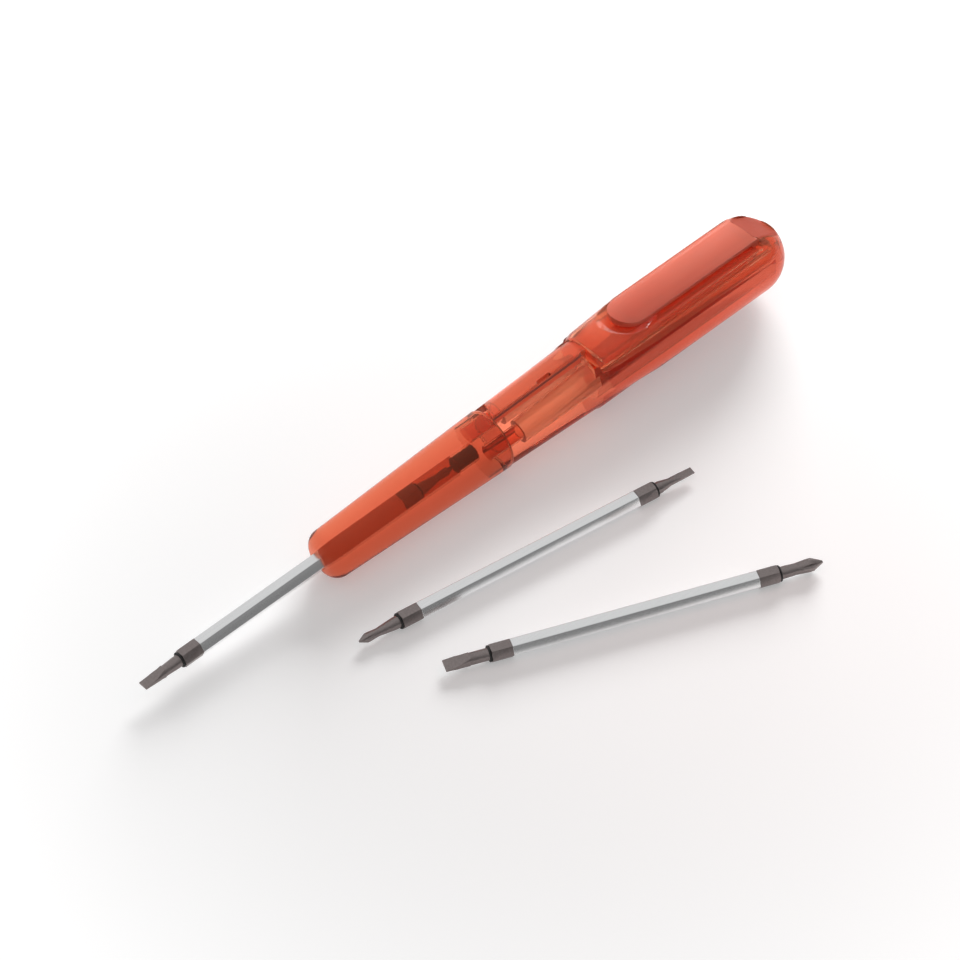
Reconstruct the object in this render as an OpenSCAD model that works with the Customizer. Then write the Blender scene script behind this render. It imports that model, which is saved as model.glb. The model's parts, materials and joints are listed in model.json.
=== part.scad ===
// Pocket screwdriver with a storage handle, one fitted blade and two spare blades.
// It lies on a bench: the handle on its tapered underside, the spare blades on their flats.

/* [Handle] */
// Radius of the tapered grip just behind the nose
nose_r = 5.5; // [5.3:0.1:5.6]
// Radius where the taper ends
belly_r = 7.7; // [7.6:0.05:7.75]
// Length of the neck, from the grip to the end of the taper
neck_len = 23.7; // [23:0.1:25]
// Radius of the rear half
rear_r = 8.65; // [8.6:0.05:8.8]
// How far the rear half is raised above the blade's axis
rear_up = 0.9; // [0.85:0.05:0.95]
// Rounding of the nose
nose_round = 3.1; // [2:0.1:3.2]
// Thickness of the tail behind the stored blades
tail_wall = 3.2; // [3.2:0.1:4]
// How far the handle lies rolled over, away from the spare blades
roll = 8; // [0:1:8]

/* [Blades] */
// Length of every double-ended blade
blade_len = 80; // [76:0.5:80]
// Width across the flats of the hexagonal blade
hex_af = 3.5; // [3.3:0.05:3.6]
// How far the fitted blade stands out of the nose
blade_out = 45; // [43:0.5:48]
// Length of each hexagonal drive collar
collar_len = 4.4; // [3:0.1:6]
// Length of each working tip beyond its collar
tip_len = 9.5; // [8.5:0.1:10]
// Diameter of a tip where it leaves its collar
tip_root_d = 2.6; // [2.3:0.1:2.6]

/* [Tips] */
// Width of the fitted blade's flat tip
fitted_slot_w = 2.1; // [1.5:0.1:2.8]
// Diameter of the fitted blade's cross tip
fitted_cross_d = 1.9; // [1.5:0.1:2.8]
// Diameter of the first spare's cross tip
spare_1_cross_d = 2; // [1.5:0.1:2.8]
// Width of the first spare's flat tip
spare_1_slot_w = 1.5; // [1.3:0.1:2.8]
// Width of the second spare's flat tip
spare_2_slot_w = 2.7; // [1.5:0.1:2.8]
// Diameter of the second spare's cross tip
spare_2_cross_d = 2.8; // [1.5:0.1:2.8]

/* [Storage] */
// Diameter of each storage channel
channel_d = 4.7; // [4.6:0.1:4.8]
// Thickness of the web between the two channels
web_t = 1.4; // [1.2:0.1:1.5]
// Height of the storage channels above the blade's axis
channel_z = 1; // [0.6:0.1:1.1]
// Height of the parting plane above the blade's axis
part_z = 4.4; // [4.3:0.05:4.5]

/* [Clip] */
// Width of the pocket clip
clip_w = 9; // [8:0.1:9.4]
// Length of the clip from its root to its tip
clip_len = 36.1; // [33:0.1:37]
// Height of the clip's crest above the blade's axis
clip_top = 9.5; // [9.3:0.05:9.55]

/* [Bench layout] */
// Where the first spare blade starts, along and across from the fitted blade's tip
spare_1_at = [39.7, -18.4];
// Turn of the first spare blade
spare_1_turn = -8.4; // [-20:0.1:-4]
// Where the second spare blade starts, along and across from the fitted blade's tip
spare_2_at = [48.4, -34];
// Turn of the second spare blade
spare_2_turn = -22.4; // [-40:0.1:-15]

/* [Hidden] */

round_fn = 96;      // facets of a preview circle; the solids are true rounds
overrun = 1;        // how far a cut runs past the face that it opens
slide_gap = 0.05;   // clearance each side of the blade in its socket
fit_gap = 0.015;    // clearance of a pressed part
run_gap = 0.12;     // clearance around the latch tongue
rail_gap = 0.07;    // clearance of the cover on its rails
seat_gap = 0.03;    // clearance where two housings meet
drop_gap = 0.05;    // clearance of the cradle in the body

// Socket in the nose, the magnet that holds the blade, and the grip around them
socket_af = hex_af + 2 * slide_gap;
socket_depth = blade_len - blade_out + 0.1 * hex_af;
magnet_len = 5.2;
magnet_d = socket_af - 2 * slide_gap;
magnet_wall = 0.55;
spigot_d = 10.6;
spigot_len = 4.8;
grip_len = socket_depth + magnet_len + magnet_wall + spigot_len;
belly_x = grip_len + neck_len;

// Taper, and how it tips the tool when it lies on the bench
taper = (belly_r - nose_r) / (belly_x - nose_round);
tilt = atan(taper);
taper_r0 = nose_r - taper * nose_round;
function cone_r(x) = taper_r0 + taper * x;

// Joint between grip and body
shoulder_len = 0.5;
shoulder_drop = 0.2;
neck_drop = 0.25;

// Storage channels, their narrow front pockets, and the trough that opens upwards
channel_y = (channel_d + web_t) / 2;
channel_lift = 4;  // how far the upper bore of a channel leans, so that a blade can be lifted
pocket_d = 3.2;
pocket_wall = 0.6;
pocket_len = 8.7;
pocket_x = grip_len - spigot_len + pocket_wall;
channel_x = pocket_x + pocket_len;
trough_back = 0.4;
trough_x = belly_x + trough_back;
trough_w = 10.6;
blade_play = 0.3;    // room behind a stored blade
bay_w = 8.8;
bay_len = 2.3;
bay_end = pocket_x + blade_len + blade_play;
bay_z = channel_z - pocket_d / 2;
trough_end = bay_end - bay_len;
cradle_top = 1.8;
cradle_len = trough_end - trough_x - 2 * drop_gap;

// Rear half
handle_len = bay_end + tail_wall;
cover_back = 1.9;
cover_front = belly_x + cover_back;
cover_slope = 2.1;
cover_lip = 0.6;
neck_end = cover_front - run_gap;
swell_back = 0.9;
swell_start = cover_front + swell_back;
swell_r = 7.75;
swell_len = 13.6;
swell_end = swell_start + swell_len;
core_over = 2;
core_end = swell_end + core_over;
tail_x = handle_len - rear_r;
pole_r = 0.5;
function swell(x) = swell_r + (rear_r - swell_r) * (x - swell_start) / swell_len;

// Cover
cover_wall = 1.2;
front_wall = 1.5;
roof_z = 5.9;
bed_z = 7;
rail_back = 10.5;
rail_x = cover_front + rail_back;
rail_short = 1;
rail_end = trough_end - rail_short;
rail_h = 0.5;
rail_foot = 0.35;    // width of a rail where it leaves the body
rail_lean = 0.1;     // how much wider it is at its top, to each side
rail_y = (trough_w + rail_foot) / 2 + 2 * rail_lean;
tongue_near = 0.9;   // how far the tongue reaches past the centre, on the side of the spare blades
tongue_far = 5;      // how far it reaches on the other side
tongue_skew = 2.5;   // how much its front edge slants
tongue_x = grip_len + 2 * run_gap;
tongue_z = 4.6;
tongue_end = cover_front + front_wall / 2;
notch_back = 12.6;
notch_x = tongue_x + notch_back;
notch_len = 3.5;
notch_in = 0.7;
line_d = 0.6;
line_angles = [48, 53];
line_back = 4;
recess_slope = 30;
recess_drop = 0.6;

// Clip
clip_crown_r = 14;
clip_lift = 0.8;
clip_under = bed_z + clip_lift;
clip_back = 0.15;
clip_hinge_x = tail_x - clip_back;
clip_x = clip_hinge_x - clip_len;
clip_end_gap = 0.35;
bead_r = 1;
bead_z = clip_under + seat_gap;
nub_r = 1.2;
nub_back = 3.6;
nub_x = clip_x + nub_back;
nub_out = 0.65;
scoop_rim = 0.9;
scoop_flare = 3.4;
scoop_low_r = clip_w / 2 + scoop_rim;
scoop_high_r = scoop_low_r + scoop_flare;
scoop_h = rear_r + rear_up - bed_z + slide_gap;

// Blade ends
bit_spigot_d = 1.9;
bit_spigot_len = 5;
ring_t = 0.42;
collar_chamfer = 0.18;
edge_share = 0.19;    // thickness of a flat tip's edge as a share of its width

// Bench placement
rest_z = taper_r0 * cos(tilt);
tip_side = 0.41;      // how far a turned spare reaches past the end of its axis
mid_x = (handle_len - blade_out) / 2 * cos(tilt);
mid_y = (rear_r + rear_up * sin(roll) + spare_2_at[1] + blade_len * sin(spare_2_turn) - tip_side) / 2;

// Turns a shape made along Z so that it lies along the tool's axis, X
module lie() { rotate([0, 90, 0]) children(); }

// A solid of revolution about the tool's axis from points [along, radius]
module turned(points) {
    lie() rotate_extrude($fn = round_fn) polygon([for (p = points) [p[1], p[0]]]);
}

// A hexagonal prism about the axis, flats up and down
module hex_bar(x, len, af) {
    translate([x, 0, 0]) lie() rotate([0, 0, 30]) cylinder(d = af / cos(30), h = len, $fn = 6);
}

// A round bar along the axis
module bar(x, len, d, y = 0, z = 0) {
    translate([x, y, z]) lie() cylinder(d = d, h = len, $fn = round_fn);
}

// A profile in the cross-section [y, z], drawn out along the axis
module drawn(x, len, points) {
    translate([x, 0, 0]) rotate([90, 0, 90]) linear_extrude(len) polygon(points);
}

// Everything above a height between two stations
module above(x0, x1, z) {
    translate([x0, -2 * rear_r, z]) cube([x1 - x0, 4 * rear_r, 2 * rear_r]);
}

// Puts a part of the tool on the bench, lying on its taper and rolled over
module on_bench() {
    translate([-mid_x, -mid_y, rest_z]) rotate([0, -tilt, 0]) rotate([-roll, 0, 0]) children();
}

// Moves a blade from its own frame, front tip at the origin, to its place
module fitted() { on_bench() translate([-blade_out, 0, 0]) children(); }
module spare(at, turn) {
    translate([at[0] - blade_out * cos(tilt) - mid_x, at[1] - mid_y, hex_af / 2])
        rotate([0, 0, turn]) children();
}
module spare_1() { spare(spare_1_at, spare_1_turn) children(); }
module spare_2() { spare(spare_2_at, spare_2_turn) children(); }

// Outline of the front grip: rounded nose, taper and a small shoulder
grip_points = concat(
    [[0, 0]],
    [for (a = [0 : 10 : 90]) [nose_round * (1 - cos(a)), nose_r - nose_round + nose_round * sin(a)]],
    [[grip_len - shoulder_len, cone_r(grip_len - shoulder_len)],
     [grip_len, cone_r(grip_len) - shoulder_drop], [grip_len, 0]]);

// Outline of the neck and belly, about the blade's axis
neck_points = [[grip_len + seat_gap, 0], [grip_len + seat_gap, cone_r(grip_len) - neck_drop],
    [belly_x - overrun, cone_r(belly_x - overrun) - neck_drop],
    [belly_x, belly_r], [swell_end, belly_r], [core_end, belly_r], [core_end, 0]];

// Domed tail about the raised axis, drawn in by an inset, with a small flat at its pole
function tail_points(inset) = concat([[swell_end, rear_r - inset]],
    [for (a = [0 : 7.5 : 82.5]) [tail_x + (rear_r - inset) * sin(a), (rear_r - inset) * cos(a)]],
    [[handle_len - inset, pole_r], [handle_len - inset, 0]]);

module raised() { translate([0, 0, rear_up]) children(); }

// Rail cross-section, grown by a clearance; it widens upwards
function rail_points(gap) = let(foot = rail_foot / 2 + gap, top = rail_foot / 2 + rail_lean + gap) [
    [rail_y - foot, part_z - overrun / 2], [rail_y + foot, part_z - overrun / 2],
    [rail_y + foot, part_z], [rail_y + top, part_z + rail_h + gap],
    [rail_y - top, part_z + rail_h + gap], [rail_y - foot, part_z]];

module front_grip() {
    color([0.83, 0.2, 0.12, 0.6]) on_bench() difference() {
        turned(grip_points);
        hex_bar(-overrun, overrun + socket_depth, socket_af);
        bar(socket_depth - overrun / 2, overrun / 2 + magnet_len + fit_gap, magnet_d + 2 * fit_gap);
        bar(grip_len - spigot_len - seat_gap, spigot_len + overrun, spigot_d + 2 * fit_gap);
    }
}

module magazine_body() {
    color([0.87, 0.3, 0.17, 0.55]) on_bench() {
        difference() {
            union() {
                turned(neck_points);
                raised() turned(concat([[neck_end, 0], [neck_end, swell_r - cover_lip],
                                        [swell_start, swell_r]], tail_points(0)));
                bar(grip_len - spigot_len, spigot_len + overrun, spigot_d);
            }
            // Open top under the cover
            above(neck_end, handle_len + overrun, part_z);
            // Round channels in the neck, each with a narrow pocket and a leaning upper bore
            for (side = [-1, 1]) {
                bar(pocket_x, channel_x - pocket_x + overrun, pocket_d, side * channel_y, channel_z);
                bar(channel_x, trough_x - channel_x + overrun, channel_d, side * channel_y, channel_z);
                translate([channel_x, side * channel_y, channel_z]) rotate([0, -channel_lift, 0])
                    bar(0, trough_x - channel_x + overrun, channel_d);
            }
            // Trough for the cradle, open upwards, and the bay for the tips
            bar(trough_x, trough_end - trough_x, trough_w, 0, rear_up);
            translate([trough_x, -trough_w / 2, rear_up])
                cube([trough_end - trough_x, trough_w, 2 * belly_r]);
            translate([trough_end - overrun, -bay_w / 2, bay_z])
                cube([bay_end - trough_end + overrun, bay_w, 2 * belly_r]);
            // Slot of the latch tongue, running out through the tail
            translate([grip_len - overrun / 2, -tongue_near - run_gap, tongue_z - run_gap])
                cube([handle_len - grip_len + 2 * overrun, tongue_near + tongue_far + 2 * run_gap,
                      2 * belly_r]);
        }
        for (side = [-1, 1]) scale([1, side, 1])
            drawn(rail_x, rail_end - rail_x, rail_points(0));
    }
}

module blade_cradle() {
    color([0.8, 0.18, 0.1, 0.6]) on_bench() difference() {
        union() {
            bar(trough_x + drop_gap, cradle_len, trough_w - 2 * drop_gap, 0, rear_up);
            translate([trough_x + drop_gap, drop_gap - trough_w / 2, rear_up])
                cube([cradle_len, trough_w - 2 * drop_gap, 2 * cradle_top]);
        }
        above(trough_x, trough_end, cradle_top);
        for (side = [-1, 1]) {
            bar(trough_x - overrun, cradle_len + 2 * overrun, channel_d, side * channel_y, channel_z);
            translate([trough_x - overrun, side * channel_y - channel_d / 2, channel_z])
                cube([cradle_len + 2 * overrun, channel_d, channel_d]);
        }
    }
}

// Outer form of the cover: sloped front edge, swell, domed tail
function cover_points(inset) = concat(
    [[cover_front, 0], [cover_front, swell(cover_front) - cover_lip - inset],
     [cover_front + cover_slope, swell(cover_front + cover_slope) - inset]], tail_points(inset));

module sliding_cover() {
    color([0.86, 0.26, 0.15, 0.6]) on_bench() difference() {
        union() {
            intersection() {
                raised() turned(cover_points(0));
                above(cover_front, handle_len, part_z + seat_gap);
            }
            // Latch tongue, rounded like the neck, with a slanting front edge
            intersection() {
                turned([[tongue_x - overrun, 0], [tongue_x - overrun, cone_r(tongue_x) - neck_drop],
                        [cover_front + front_wall, cone_r(cover_front + front_wall) - neck_drop],
                        [cover_front + front_wall, 0]]);
                translate([0, 0, tongue_z]) linear_extrude(belly_r)
                    polygon([[tongue_x, -tongue_near], [tongue_end, -tongue_near],
                             [tongue_end, tongue_far], [tongue_x + tongue_skew, tongue_far]]);
            }
        }
        // Notch in the near edge of the tongue
        translate([notch_x, -tongue_near - notch_in, tongue_z - overrun])
            cube([notch_len, 2 * notch_in, belly_r]);
        // Hollow under the roof
        intersection() {
            raised() turned(cover_points(cover_wall));
            translate([cover_front + front_wall, -trough_w / 2, 0])
                cube([trough_end - cover_front - front_wall, trough_w, roof_z]);
        }
        // Grooves that ride on the body's rails
        for (side = [-1, 1]) scale([1, side, 1])
            drawn(cover_front - overrun, rail_end + rail_gap - cover_front + overrun, rail_points(rail_gap));
        // Flat bed under the clip, with its scooped front
        translate([clip_x + clip_w / 2, 0, bed_z])
            cylinder(r1 = scoop_low_r, r2 = scoop_high_r, h = scoop_h, $fn = round_fn);
        translate([clip_x + clip_w / 2, -rear_r, bed_z])
            cube([clip_hinge_x + clip_end_gap - clip_x - clip_w / 2, 2 * rear_r, rear_r]);
        // Round seat of the clip's bead
        translate([clip_hinge_x, -rear_r, bead_z]) rotate([-90, 0, 0])
            cylinder(r = bead_r + slide_gap, h = 2 * rear_r, $fn = round_fn);
        // Sloped recess in the tail behind the clip
        translate([clip_hinge_x + clip_end_gap, 0, rear_r + rear_up]) rotate([0, recess_slope, 0])
            translate([0, -clip_w / 2, -recess_drop]) cube([rear_r, clip_w, rear_r]);
        // Fine lines along both flanks
        for (side = [-1, 1], a = line_angles)
            raised() rotate([side * a, 0, 0])
                bar(core_end, clip_hinge_x - core_end - line_back, line_d, 0, rear_r);
    }
}

module pocket_clip() {
    color([0.93, 0.42, 0.3, 0.7]) on_bench() intersection() {
        union() {
            difference() {
                translate([0, 0, clip_under - nub_r]) linear_extrude(2 * nub_r + clip_top - clip_under)
                    union() {
                        translate([clip_x + clip_w / 2, 0]) circle(d = clip_w, $fn = round_fn);
                        translate([clip_x + clip_w / 2, -clip_w / 2])
                            square([clip_hinge_x - clip_x - clip_w / 2, clip_w]);
                    }
                // Underside, leaving a nub near the tip
                difference() {
                    translate([clip_x - overrun, -clip_w, clip_under - 2 * nub_r])
                        cube([clip_hinge_x - clip_x + 2 * overrun, 2 * clip_w, 2 * nub_r]);
                    translate([nub_x, -clip_w / 4, clip_under + nub_r - nub_out]) rotate([-90, 0, 0])
                        cylinder(r = nub_r, h = clip_w / 2, $fn = round_fn);
                }
            }
            translate([clip_hinge_x, -clip_w / 2, bead_z]) rotate([-90, 0, 0])
                cylinder(r = bead_r, h = clip_w, $fn = round_fn);
        }
        bar(clip_x - overrun, clip_hinge_x - clip_x + 3 * overrun, 2 * clip_crown_r, 0,
            clip_top - clip_crown_r);
    }
}

module socket_magnet() {
    color([0.16, 0.13, 0.12]) on_bench()
        bar(socket_depth + fit_gap, magnet_len - fit_gap, magnet_d);
}

// Blade parts, each in the blade's own frame with the front tip's end at the origin

module shank() {
    start = tip_len + collar_len;
    len = blade_len - 2 * start;
    color([0.8, 0.81, 0.82]) difference() {
        hex_bar(start + fit_gap, len - 2 * fit_gap, hex_af);
        bar(start - overrun, overrun + bit_spigot_len + fit_gap, bit_spigot_d + 2 * fit_gap);
        bar(blade_len - start - bit_spigot_len - fit_gap, bit_spigot_len + overrun + fit_gap,
            bit_spigot_d + 2 * fit_gap);
    }
}

// Collar and spigot of a bit whose tip points towards -X
module bit_root() {
    intersection() {
        hex_bar(tip_len, collar_len, hex_af);
        turned([[tip_len, 0], [tip_len, hex_af / 2 - collar_chamfer / 2],
                [tip_len + collar_chamfer, hex_af / 2 / cos(30)],
                [tip_len + collar_len, hex_af / 2 / cos(30)], [tip_len + collar_len, 0]]);
    }
    bar(tip_len + collar_len - overrun, overrun + bit_spigot_len, bit_spigot_d);
}

// Flat tip: a round root that fans out and is hollow ground to a blunt edge
module slot_bit(width) {
    edge = edge_share * width;
    flat_len = 0.55 * tip_len;
    neck_d = min(tip_root_d, 0.92 * width + edge);
    grind_r = (flat_len * flat_len) / (neck_d - edge);
    color([0.42, 0.38, 0.37]) {
        bit_root();
        intersection() {
            union() {
                turned([[0, 0], [0, neck_d / 2], [tip_len * 0.6, neck_d / 2],
                        [tip_len * 0.85, tip_root_d / 2], [tip_len + slide_gap, tip_root_d / 2],
                        [tip_len + slide_gap, 0]]);
                translate([0, 0, -tip_root_d]) linear_extrude(2 * tip_root_d)
                    polygon([[0, -width / 2], [flat_len * 0.45, -width / 2], [flat_len, -neck_d * 0.3],
                             [flat_len, neck_d * 0.3], [flat_len * 0.45, width / 2], [0, width / 2]]);
            }
            // Two hollow-ground faces
            difference() {
                bar(0, tip_len + overrun, 2 * width + tip_root_d);
                for (side = [-1, 1])
                    translate([0, -2 * width, side * (edge / 2 + grind_r)]) rotate([-90, 0, 0])
                        cylinder(r = grind_r, h = 4 * width, $fn = round_fn);
            }
        }
    }
}

// Cross tip: a round root, a cone point and four tapering flutes
module cross_bit(size) {
    point_len = size / 2 / tan(26.5) * 0.8;
    blunt_r = size * 0.1;
    color([0.4, 0.37, 0.36]) {
        bit_root();
        difference() {
            turned([[0, 0], [0, blunt_r], [point_len, size / 2], [point_len + size * 0.35, size / 2],
                    [point_len + size * 1.3, size * 0.43], [tip_len * 0.85, tip_root_d / 2],
                    [tip_len + slide_gap, tip_root_d / 2], [tip_len + slide_gap, 0]]);
            for (k = [0 : 3])
                rotate([45 + 90 * k, 0, 0]) translate([-overrun, 0, size * 0.13]) rotate([0, -8, 0])
                    lie() linear_extrude(point_len + 2.2 * size)
                        polygon([[0, 0], [-2 * size, 1.8 * size], [-2 * size, -1.8 * size]]);
        }
    }
}

// Rubber ring at the outer face of a collar
module ring() {
    color([0.07, 0.07, 0.07]) translate([tip_len - ring_t / 2 - fit_gap, 0, 0]) lie()
        rotate_extrude($fn = round_fn) translate([tip_root_d / 2 + fit_gap + ring_t / 2, 0])
            circle(d = ring_t, $fn = 24);
}

// Turns a part of the front end so that it serves the rear end
module rear_end() { translate([blade_len, 0, 0]) rotate([0, 0, 180]) children(); }

front_grip();
magazine_body();
blade_cradle();
sliding_cover();
pocket_clip();
socket_magnet();

fitted() shank();  // fitted_shank
fitted() slot_bit(fitted_slot_w);  // fitted_slot_bit
fitted() rear_end() cross_bit(fitted_cross_d);  // fitted_cross_bit
fitted() ring();  // fitted_front_ring
fitted() rear_end() ring();  // fitted_rear_ring

spare_1() shank();  // spare_1_shank
spare_1() cross_bit(spare_1_cross_d);  // spare_1_cross_bit
spare_1() rear_end() slot_bit(spare_1_slot_w);  // spare_1_slot_bit
spare_1() ring();  // spare_1_front_ring
spare_1() rear_end() ring();  // spare_1_rear_ring

spare_2() shank();  // spare_2_shank
spare_2() slot_bit(spare_2_slot_w);  // spare_2_slot_bit
spare_2() rear_end() cross_bit(spare_2_cross_d);  // spare_2_cross_bit
spare_2() ring();  // spare_2_front_ring
spare_2() rear_end() ring();  // spare_2_rear_ring
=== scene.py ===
import bpy
import json
import math
from mathutils import Matrix, Vector


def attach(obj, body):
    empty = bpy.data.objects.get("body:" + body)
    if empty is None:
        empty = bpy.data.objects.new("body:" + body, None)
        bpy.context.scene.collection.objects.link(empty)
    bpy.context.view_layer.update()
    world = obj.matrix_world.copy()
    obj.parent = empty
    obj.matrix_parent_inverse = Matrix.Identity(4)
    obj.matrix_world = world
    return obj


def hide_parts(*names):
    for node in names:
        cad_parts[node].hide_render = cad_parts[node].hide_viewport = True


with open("model.json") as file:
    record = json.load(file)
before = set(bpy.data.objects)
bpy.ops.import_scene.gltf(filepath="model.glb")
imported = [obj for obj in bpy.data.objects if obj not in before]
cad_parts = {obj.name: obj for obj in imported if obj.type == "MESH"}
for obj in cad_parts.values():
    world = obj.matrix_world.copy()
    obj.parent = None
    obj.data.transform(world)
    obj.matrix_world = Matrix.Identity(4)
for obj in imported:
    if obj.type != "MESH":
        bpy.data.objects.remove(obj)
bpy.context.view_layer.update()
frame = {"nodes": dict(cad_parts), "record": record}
nodes = frame["nodes"]
bpy.ops.object.select_all(action="DESELECT")
print("frame loaded:", len(nodes), "nodes")

# the tool's own axes, from the socket in its nose and the hinge of its clip
record = frame["record"]
mounts = {m["name"]: m for m in record["mounts"]}
joints = {j["name"]: j for j in record["behaviour"]["joints"]}
nose = Vector(mounts["hex_socket"]["pos_m"])
along = -Vector(mounts["hex_socket"]["axis"]).normalized()
across = Vector(joints["clip_flex"]["axis"]).normalized()
toTool = Matrix((along, across, along.cross(across)))


# materials

def newMaterial(name):
    mat = bpy.data.materials.new(name)
    mat.use_nodes = True
    return mat, mat.node_tree, mat.node_tree.nodes["Principled BSDF"]


def addNode(tree, kind, **values):
    node = tree.nodes.new(kind)
    for key, value in values.items():
        if key in node.inputs:
            node.inputs[key].default_value = value
        else:
            setattr(node, key, value)
    return node


def noiseFrom(tree, scale, detail, stretch=(1, 1, 1)):
    coord = addNode(tree, "ShaderNodeTexCoord")
    mapping = addNode(tree, "ShaderNodeMapping")
    mapping.inputs["Scale"].default_value = stretch
    noise = addNode(tree, "ShaderNodeTexNoise", Scale=scale, Detail=detail)
    tree.links.new(coord.outputs["Object"], mapping.inputs["Vector"])
    tree.links.new(mapping.outputs["Vector"], noise.inputs["Vector"])
    return noise.outputs["Fac"]


def mixColour(tree, factor, first, second, low=0.3, high=0.7):
    ramp = addNode(tree, "ShaderNodeValToRGB")
    ramp.color_ramp.elements[0].color = (*first, 1)
    ramp.color_ramp.elements[1].color = (*second, 1)
    ramp.color_ramp.elements[0].position = low
    ramp.color_ramp.elements[1].position = high
    tree.links.new(factor, ramp.inputs["Fac"])
    return ramp.outputs["Color"]


def rangeOf(tree, factor, low, high):
    spread = addNode(tree, "ShaderNodeMapRange")
    spread.inputs["To Min"].default_value = low
    spread.inputs["To Max"].default_value = high
    tree.links.new(factor, spread.inputs["Value"])
    return spread.outputs["Result"]


def addBump(tree, shader, height, strength, distance):
    bump = addNode(tree, "ShaderNodeBump", Strength=strength, Distance=distance)
    tree.links.new(height, bump.inputs["Height"])
    tree.links.new(bump.outputs["Normal"], shader.inputs["Normal"])


# flow marks along the mould, and its fine skin
mould = {"flow": 90, "flowDetail": 2.0, "flowStretch": (0.3, 1, 1),
         "skin": 1500, "skinDetail": 3.0, "skinDepth": 0.00002, "spread": (0.8, 1.2)}


def clearResin(name, first, second, finish):
    mat, tree, shader = newMaterial(name)
    flow = noiseFrom(tree, mould["flow"], mould["flowDetail"], mould["flowStretch"])
    tree.links.new(mixColour(tree, flow, first, second), shader.inputs["Base Color"])
    skin = noiseFrom(tree, mould["skin"], mould["skinDetail"])
    smooth, coarse = [finish["rough"] * share for share in mould["spread"]]
    tree.links.new(rangeOf(tree, skin, smooth, coarse), shader.inputs["Roughness"])
    addBump(tree, shader, skin, finish["bump"], mould["skinDepth"])
    shader.inputs["Transmission Weight"].default_value = finish["clear"]
    shader.inputs["IOR"].default_value = finish["bend"]
    if "depth" in finish:  # only where one material closes the whole piece
        absorb = addNode(tree, "ShaderNodeVolumeAbsorption", Density=finish["density"])
        absorb.inputs["Color"].default_value = (*finish["depth"], 1)
        tree.links.new(absorb.outputs["Volume"], tree.nodes["Material Output"].inputs["Volume"])
    return mat


# depth and density: the colour that light takes on inside, and how fast
gloss = {"rough": 0.03, "bump": 0.02, "clear": 0.86, "bend": 1.14,
         "depth": (0.95, 0.34, 0.19), "density": 86}
satin = {"rough": 0.10, "bump": 0.04, "clear": 0.78, "bend": 1.40,
         "depth": (0.95, 0.32, 0.18), "density": 70}
frosted = {"rough": 0.24, "bump": 0.05, "clear": 0.5, "bend": 1.42,
           "depth": (0.94, 0.36, 0.2), "density": 80}
shell = {"rough": 0.03, "bump": 0.02, "clear": 0.82, "bend": 1.22}
dull = {"rough": 0.30, "bump": 0.10, "clear": 0.10, "bend": 1.42}
shade = {"rough": 0.40, "bump": 0.10, "clear": 0.10, "bend": 1.15}
bored = {"rough": 0.14, "bump": 0.10, "clear": 0.60, "bend": 1.30}
joined = {"rough": 0.02, "bump": 0.01, "clear": 0.98, "bend": 1.02}
gripResin = clearResin("gripResin", (0.64, 0.215, 0.120), (0.68, 0.24, 0.138), gloss)
bodyResin = clearResin("bodyResin", (0.90, 0.245, 0.135), (0.92, 0.275, 0.155), shell)
cradleResin = clearResin("cradleResin", (0.90, 0.25, 0.125), (0.92, 0.29, 0.145), satin)
coverResin = clearResin("coverResin", (0.95, 0.36, 0.21), (0.97, 0.40, 0.24), shell)
clipResin = clearResin("clipResin", (0.87, 0.215, 0.135), (0.89, 0.255, 0.165), frosted)
rimResin = clearResin("rimResin", (0.94, 0.32, 0.20), (0.96, 0.37, 0.24), frosted)  # the clip's rim, paled as a painted highlight
seamResin = clearResin("seamResin", (0.24, 0.035, 0.016), (0.30, 0.046, 0.022), dull)  # matte faces at the edges of joints and at the channels' mouth, darkened as painted shade of the gaps
innerResin = clearResin("innerResin", (0.84, 0.18, 0.09), (0.87, 0.21, 0.11), dull)  # the sides of a joint
recessResin = clearResin("recessResin", (0.27, 0.04, 0.022), (0.33, 0.055, 0.03), shade)  # painted shade in the recess behind the clip
boreResin = clearResin("boreResin", (0.99, 0.90, 0.80), (1.0, 0.95, 0.88), bored)  # the drilled channels' walls: frosted, and paled as painted reflection of the light in the bore
fitResin = clearResin("fitResin", (0.96, 0.88, 0.84), (0.98, 0.92, 0.88), joined)  # the pressed spigot
shellResin = clearResin("shellResin", (0.64, 0.105, 0.055), (0.68, 0.125, 0.067), shell)  # the lower shell


def grained(name, first, second, look):
    mat, tree, shader = newMaterial(name)
    shader.inputs["Metallic"].default_value = look["metal"]
    grain = noiseFrom(tree, look["grain"], look["detail"], look["stretch"])
    tree.links.new(mixColour(tree, grain, first, second), shader.inputs["Base Color"])
    tree.links.new(rangeOf(tree, grain, *look["rough"]), shader.inputs["Roughness"])
    addBump(tree, shader, grain, look["bump"], look["relief"])
    return mat


drawn = {"metal": 1.0, "grain": 4000, "detail": 5.0, "stretch": (0.02, 1, 1),
         "rough": (0.2, 0.26), "bump": 0.02, "relief": 0.00005}
burnished = {"metal": 1.0, "grain": 2600, "detail": 5.0, "stretch": (1, 1, 1),
             "rough": (0.34, 0.44), "bump": 0.04, "relief": 0.00005}
sintered = {"metal": 1.0, "grain": 2200, "detail": 5.0, "stretch": (1, 1, 1),
            "rough": (0.5, 0.7), "bump": 0.2, "relief": 0.00005}
rubber = {"metal": 0.0, "grain": 3000, "detail": 4.0, "stretch": (1, 1, 1),
          "rough": (0.5, 0.7), "bump": 0.2, "relief": 0.00003}
satinChrome = grained("satinChrome", (0.86, 0.865, 0.87), (0.90, 0.905, 0.91), drawn)
burnishedSteel = grained("burnishedSteel", (0.25, 0.215, 0.21), (0.31, 0.27, 0.262), burnished)
sinteredMagnet = grained("sinteredMagnet", (0.03, 0.015, 0.012), (0.06, 0.03, 0.022), sintered)
blackRubber = grained("blackRubber", (0.012, 0.012, 0.012), (0.03, 0.03, 0.03), rubber)
print("materials made")

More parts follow.
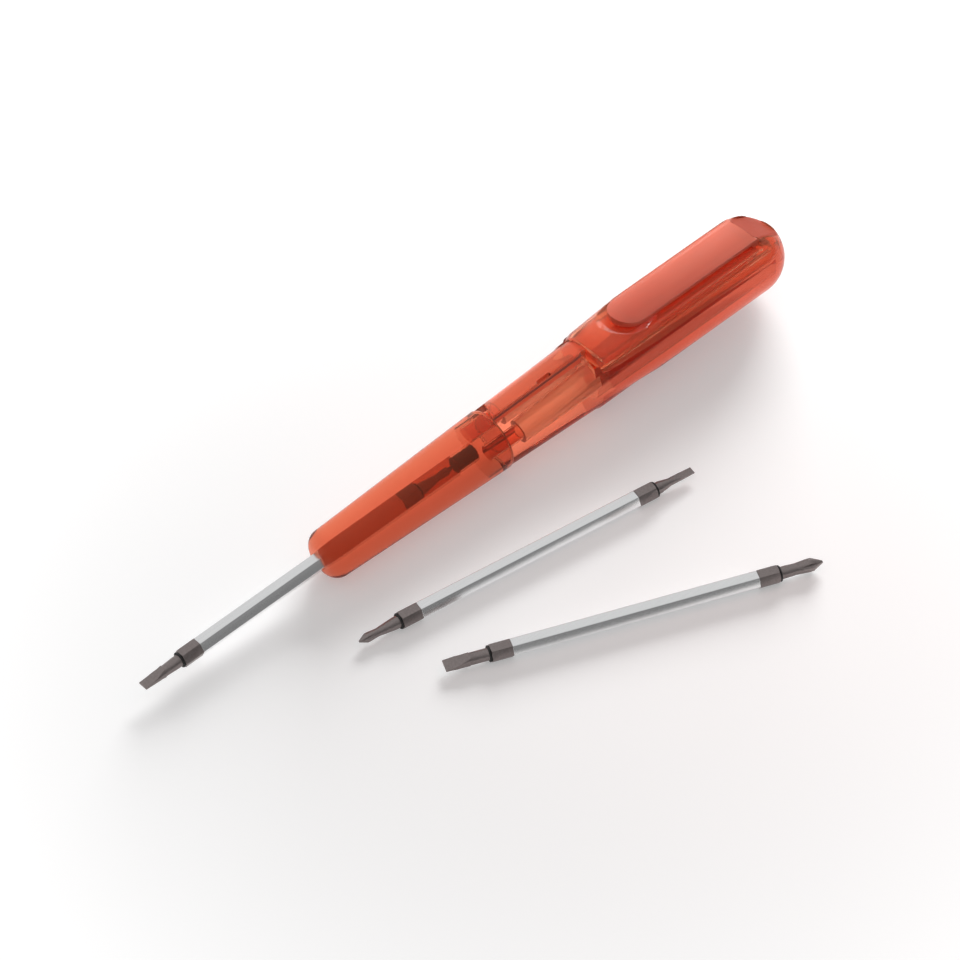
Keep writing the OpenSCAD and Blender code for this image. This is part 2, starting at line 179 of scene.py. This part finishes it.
# the handle's pieces by name, and the blades' by the last word of theirs
finishes = {"front_grip": gripResin, "magazine_body": bodyResin, "blade_cradle": cradleResin,
            "sliding_cover": coverResin, "pocket_clip": clipResin, "socket_magnet": sinteredMagnet,
            "shank": satinChrome, "bit": burnishedSteel, "ring": blackRubber}
for name, obj in nodes.items():
    kind = name if name in finishes else name.split("_")[-1]
    obj.data.materials.clear()
    obj.data.materials.append(finishes[kind])
print("CAD nodes finished")


# soft edges, as moulding and grinding leave them

# places in mm: along the tool from its nose, across it, and up from its middle line
shellStart = 72
recess = {"start": 116.6, "up": 6, "half": 4.8, "looksAcross": 0.02, "looksAlong": (0.3, 0.95)}
neck = {"start": 50.6, "end": 70, "looksAlong": 0.2}
channel = {"side": 3.05, "up": 1, "radius": 2.33, "slack": 0.12, "start": 50.4, "leans": (0, 0.07)}
spigot = {"start": 40.8, "end": 45.7, "radius": 5.6}
looks = {"edge": 0.2, "flat": 0.96}  # how far a seam's faces look along its axis

# the slots of a painted piece: its own resin, then these
paints = [seamResin, innerResin, recessResin, boreResin, fitResin, shellResin]
ownSlot, seamShadeSlot, innerSlot, recessShadeSlot, boreReflectSlot, fitSlot, shellSlot = range(7)


def onTool(face):
    return toTool @ (Vector(face.center) - nose) * 1000, toTool @ face.normal


def inRecess(place, normal):
    low, high = recess["looksAlong"]
    behind = place[0] > recess["start"] and place[2] > recess["up"] and abs(place[1]) < recess["half"]
    return behind and abs(normal[1]) < recess["looksAcross"] and low < normal[0] < high


def onChannel(place, lean):  # in the neck its wall is a straight bore and one that leans
    height = channel["up"] + lean * (place[0] - channel["start"])
    reach = math.hypot(abs(place[1]) - channel["side"], place[2] - height)
    return abs(reach - channel["radius"]) < channel["slack"]


def onSpigot(place):
    return spigot["start"] < place[0] < spigot["end"] and math.hypot(place[1], place[2]) < spigot["radius"]


def paintParts(piece, seams):
    for mat in paints:
        piece.data.materials.append(mat)
    for face in piece.data.polygons:
        place, normal = onTool(face)
        if piece.name == "softBody" and place[0] > shellStart:
            face.material_index = shellSlot
        for axis, low, high, start, end, inner in seams:
            if abs(normal[axis]) > looks["edge"] and low < place[axis] < high and start < place[0] < end:
                face.material_index = inner if abs(normal[axis]) > looks["flat"] else seamShadeSlot
        # the recess behind the clip gets painted shade
        if inRecess(place, normal):
            face.material_index = recessShadeSlot
        # the channels' walls in the neck: frosted, and paled as painted reflection
        inNeck = neck["start"] < place[0] < neck["end"] and abs(normal[0]) < neck["looksAlong"]
        if inNeck and any(onChannel(place, lean) for lean in channel["leans"]):
            face.material_index = boreReflectSlot
        if onSpigot(place):
            face.material_index = fitSlot
    used = [face.material_index for face in piece.data.polygons]
    print(piece.name, "faces by material", [used.count(slot) for slot in range(len(piece.data.materials))])


# a painted highlight on the clip's upward-sloping rim faces
def highlightRim(piece, rim):
    highlightSlot = len(piece.data.materials)
    piece.data.materials.append(rimResin)
    for face in piece.data.polygons:
        place, normal = onTool(face)
        if rim["level"] < normal[2] < rim["steep"] and place[2] > rim["above"]:
            face.material_index = highlightSlot


clean = {"weld": 0.000001, "level": 0.5, "smooth": 28}  # metres, then degrees


def softCopy(name, body, edge):
    bpy.ops.object.select_all(action="DESELECT")
    piece = bpy.data.objects.new(edge["name"], nodes[name].data.copy())
    bpy.context.collection.objects.link(piece)
    piece.select_set(True)
    bpy.context.view_layer.objects.active = piece
    bpy.ops.object.mode_set(mode="EDIT")
    bpy.ops.mesh.select_all(action="SELECT")
    bpy.ops.mesh.remove_doubles(threshold=clean["weld"])
    bpy.ops.mesh.dissolve_limited(angle_limit=math.radians(clean["level"]))
    bpy.ops.object.mode_set(mode="OBJECT")
    bevel = piece.modifiers.new("softEdge", "BEVEL")
    bevel.width = edge["width"]
    bevel.segments = edge["segments"]
    bevel.limit_method = "ANGLE"
    bevel.angle_limit = math.radians(edge["angle"])
    bpy.ops.object.modifier_apply(modifier="softEdge")
    bpy.ops.object.shade_smooth_by_angle(angle=math.radians(clean["smooth"]))
    if "seams" in edge:
        paintParts(piece, edge["seams"])
    if "rim" in edge:
        highlightRim(piece, edge["rim"])
    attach(piece, body)
    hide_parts(name)


# a seam: the axis that it crosses (0 along, 1 across), its range on it, its stretch of the tool, and
# the slot of its flat sides; its edges always take the dark seam resin, painted shade of the gap
gripSeam = (0, 45.8, 46.0, 45, 47, ownSlot)
# the channels' mouth: its end faces and edges get painted shade
mouthSeam = (0, 50.2, 50.6, 49, 52, seamShadeSlot)
tongueSeams = [(1, -1.8, 0.1, 45, 72, innerSlot), (0, 58.5, 59.0, 58, 60, seamShadeSlot),
               (0, 62.0, 62.5, 61, 63, seamShadeSlot)]

gripEdge = {"name": "softGrip", "width": 0.00008, "segments": 2, "angle": 35, "seams": [gripSeam]}
softCopy("front_grip", "handle", gripEdge)
bodyEdge = {"name": "softBody", "width": 0.0001, "segments": 2, "angle": 40,
            "seams": [gripSeam, mouthSeam] + tongueSeams}
softCopy("magazine_body", "handle", bodyEdge)
cradleEdge = {"name": "softCradle", "width": 0.00012, "segments": 2, "angle": 40}
softCopy("blade_cradle", "handle", cradleEdge)
magnetEdge = {"name": "softMagnet", "width": 0.0003, "segments": 3, "angle": 40}
softCopy("socket_magnet", "handle", magnetEdge)
coverEdge = {"name": "softCover", "width": 0.0001, "segments": 2, "angle": 40, "seams": tongueSeams}
softCopy("sliding_cover", "cover", coverEdge)
# its rim gets a painted highlight
clipEdge = {"name": "softClip", "width": 0.0003, "segments": 4, "angle": 40,
            "rim": {"level": 0.3, "steep": 0.80, "above": 8.6}}  # how far its faces look up, and where
softCopy("pocket_clip", "clip", clipEdge)
print("handle's soft edges made")

shankEdge = {"width": 0.00012, "segments": 3, "angle": 30}
bitEdge = {"width": 0.00005, "segments": 2, "angle": 35}
bladeBodies = {"fitted": "fitted_blade", "spare_1": "handle", "spare_2": "handle"}
for blade, body in bladeBodies.items():
    for name in [n for n in nodes if n.startswith(blade)]:
        title = "soft" + "".join(word.capitalize() for word in name.split("_"))
        if name.endswith("shank"):
            softCopy(name, body, {"name": title, **shankEdge})
        elif name.endswith("bit"):
            softCopy(name, body, {"name": title, **bitEdge})
print("blades' soft edges made")


# bench, light and camera

# the paper glows a little: lift where it is looked at; painted light where it is seen through below the
# clear resin, in place of the light the resin passes on; painted light that brightens it far off, fading the
# shadow out
bench = {"size": 3.0, "diffuse": 0.74, "lift": 0.33, "through": 0.38, "near": 0.05, "far": 0.25, "haze": 0.5}


def benchMaterial():
    mat, tree, shader = newMaterial("benchPaper")
    tree.nodes.remove(shader)
    diffuse = addNode(tree, "ShaderNodeBsdfDiffuse", Color=(bench["diffuse"],) * 3 + (1,))
    glow = addNode(tree, "ShaderNodeEmission", Color=(1, 1, 1, 1))
    path = addNode(tree, "ShaderNodeLightPath")
    seen = addNode(tree, "ShaderNodeMath", operation="MAXIMUM")
    tree.links.new(path.outputs["Is Camera Ray"], seen.inputs[0])
    tree.links.new(path.outputs["Is Glossy Ray"], seen.inputs[1])
    plain = addNode(tree, "ShaderNodeMath", operation="MULTIPLY")
    plain.inputs[1].default_value = bench["lift"]
    tree.links.new(seen.outputs[0], plain.inputs[0])
    strength = addNode(tree, "ShaderNodeMath", operation="MULTIPLY_ADD")
    strength.inputs[1].default_value = bench["through"]
    tree.links.new(path.outputs["Is Transmission Ray"], strength.inputs[0])
    tree.links.new(plain.outputs[0], strength.inputs[2])
    spot = addNode(tree, "ShaderNodeTexCoord")
    reach = addNode(tree, "ShaderNodeVectorMath", operation="LENGTH")
    tree.links.new(spot.outputs["Object"], reach.inputs[0])
    # painted light: the paper brighter away from the tool, for camera rays
    haze = addNode(tree, "ShaderNodeMapRange", interpolation_type="SMOOTHSTEP")
    haze.inputs["From Min"].default_value = bench["near"]
    haze.inputs["From Max"].default_value = bench["far"]
    haze.inputs["To Max"].default_value = bench["haze"]
    tree.links.new(reach.outputs["Value"], haze.inputs["Value"])
    total = addNode(tree, "ShaderNodeMath", operation="MULTIPLY_ADD")
    tree.links.new(path.outputs["Is Camera Ray"], total.inputs[0])
    tree.links.new(haze.outputs["Result"], total.inputs[1])
    tree.links.new(strength.outputs[0], total.inputs[2])
    tree.links.new(total.outputs[0], glow.inputs["Strength"])
    both = addNode(tree, "ShaderNodeAddShader")
    tree.links.new(diffuse.outputs[0], both.inputs[0])
    tree.links.new(glow.outputs[0], both.inputs[1])
    tree.links.new(both.outputs[0], tree.nodes["Material Output"].inputs["Surface"])
    return mat


bpy.ops.mesh.primitive_plane_add(size=bench["size"], location=(0, 0, 0))
benchTop = bpy.context.object
benchTop.name = "benchTop"
benchTop.data.materials.append(benchMaterial())

# brighter from above and behind; share is what is left of it for diffuse rays
sky = {"dim": 0.20, "bright": 0.70, "seen": 1.0, "share": 0.42, "towards": (-0.10, 0.66, 0.75),
       "fade": (-0.45, 0.75)}


def lightSky(tree):
    background = tree.nodes["Background"]
    background.inputs["Color"].default_value = (1, 1, 1, 1)
    around = addNode(tree, "ShaderNodeTexCoord")
    above = addNode(tree, "ShaderNodeVectorMath", operation="DOT_PRODUCT")
    above.inputs[1].default_value = sky["towards"]
    tree.links.new(around.outputs["Generated"], above.inputs[0])
    fade = addNode(tree, "ShaderNodeMapRange", interpolation_type="SMOOTHSTEP")
    fade.inputs["From Min"].default_value = sky["fade"][0]
    fade.inputs["From Max"].default_value = sky["fade"][1]
    fade.inputs["To Min"].default_value = sky["dim"]
    fade.inputs["To Max"].default_value = sky["bright"]
    tree.links.new(above.outputs["Value"], fade.inputs["Value"])
    path = addNode(tree, "ShaderNodeLightPath")
    seen = addNode(tree, "ShaderNodeMath", operation="MAXIMUM")
    tree.links.new(path.outputs["Is Camera Ray"], seen.inputs[0])
    tree.links.new(path.outputs["Is Transmission Ray"], seen.inputs[1])
    shaded = addNode(tree, "ShaderNodeMath", operation="MULTIPLY_ADD")
    shaded.inputs[1].default_value = sky["share"] - 1
    shaded.inputs[2].default_value = 1.0
    tree.links.new(path.outputs["Is Diffuse Ray"], shaded.inputs[0])
    weaker = addNode(tree, "ShaderNodeMath", operation="MULTIPLY")
    tree.links.new(fade.outputs["Result"], weaker.inputs[0])
    tree.links.new(shaded.outputs[0], weaker.inputs[1])
    level = addNode(tree, "ShaderNodeMix", data_type="FLOAT")
    level.inputs[3].default_value = sky["seen"]
    tree.links.new(seen.outputs[0], level.inputs[0])
    tree.links.new(weaker.outputs[0], level.inputs[2])
    tree.links.new(level.outputs[0], background.inputs["Strength"])


world = bpy.data.worlds.new("studio")
bpy.context.scene.world = world
world.use_nodes = True
lightSky(world.node_tree)

# name, place, size, watts, colour
lamps = [
    ("keyLamp", (0.70, 0.54, 0.28), 0.50, 16.5, (1, 1, 1)),
    ("fillLamp", (-0.20, 0.10, 0.95), 0.90, 0.25, (1, 1, 1)),
    ("warmLamp", (0.03, -0.030, 0.10), 0.08, 0.009, (1, 0.30, 0.22)),  # what the resin throws on the bench
]
for name, place, size, power, colour in lamps:
    bpy.ops.object.light_add(type="AREA", location=place)
    lamp = bpy.context.object
    lamp.name = name
    lamp.data.size = size
    lamp.data.energy = power
    lamp.data.color = colour
    lamp.visible_glossy = False  # big soft boxes, whose shapes aren't seen in the plastic
    lamp.visible_transmission = False
    if name != "warmLamp":  # this one looks straight down
        lamp.rotation_euler = (-Vector(place)).to_track_quat("-Z", "Y").to_euler()

# the camera comes from a fit to the tips and collars of all three blades
lens = {"place": (-0.34684, -0.37137, 0.65875), "azimuth": 48.824, "down": 51.311,
        "roll": -0.11, "millimetres": 154.94, "sensor": 36, "clip": (0.05, 10)}
bpy.ops.object.camera_add(location=lens["place"])
camera = bpy.context.object
camera.name = "photoCamera"
camera.rotation_euler = (math.radians(90 - lens["down"]), 0, math.radians(lens["azimuth"] - 90))
camera.rotation_euler.rotate_axis("Z", math.radians(lens["roll"]))
camera.data.lens = lens["millimetres"]
camera.data.sensor_width = lens["sensor"]
camera.data.clip_start, camera.data.clip_end = lens["clip"]
bpy.context.scene.camera = camera
bpy.context.scene.view_settings.view_transform = "Standard"
print("bench, light and camera placed")
